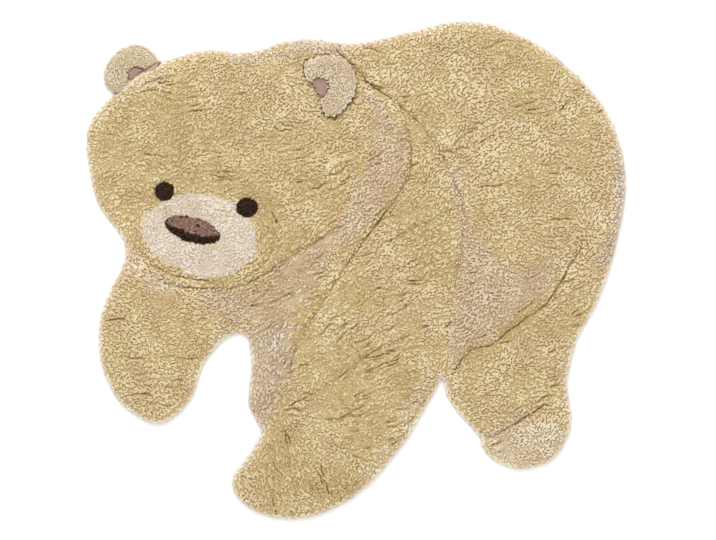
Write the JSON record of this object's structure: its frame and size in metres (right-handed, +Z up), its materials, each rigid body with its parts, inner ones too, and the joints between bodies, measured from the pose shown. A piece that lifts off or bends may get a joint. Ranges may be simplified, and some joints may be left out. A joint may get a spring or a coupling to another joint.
{
  "type": "bear shaped kids rug",
  "caption": "Flat tufted cotton rug in the shape of a walking bear, with a lumpy honey pile, a pale muzzle, carved body lines and sewn ears with woven linings.",
  "frame": {"origin": "on the floor, under the middle of the rug's bounding box", "axes": "+X from the bear's head to its rump, +Y from its paws to its back, +Z up out of the pile"},
  "size_m": [1.2082, 1.1144, 0.0286],
  "materials": {
    "honey_pile": "matt cut and looped cotton pile",
    "ear_pile": "matt cotton pile, paler",
    "ear_lining": "plain woven cotton, dusty pink"
  },
  "bodies": {
    "root": {"rug": "honey_pile", "ear_left": "ear_pile", "ear_right": "ear_pile", "ear_left_lining": "ear_lining", "ear_right_lining": "ear_lining"}
  },
  "joints": []
}
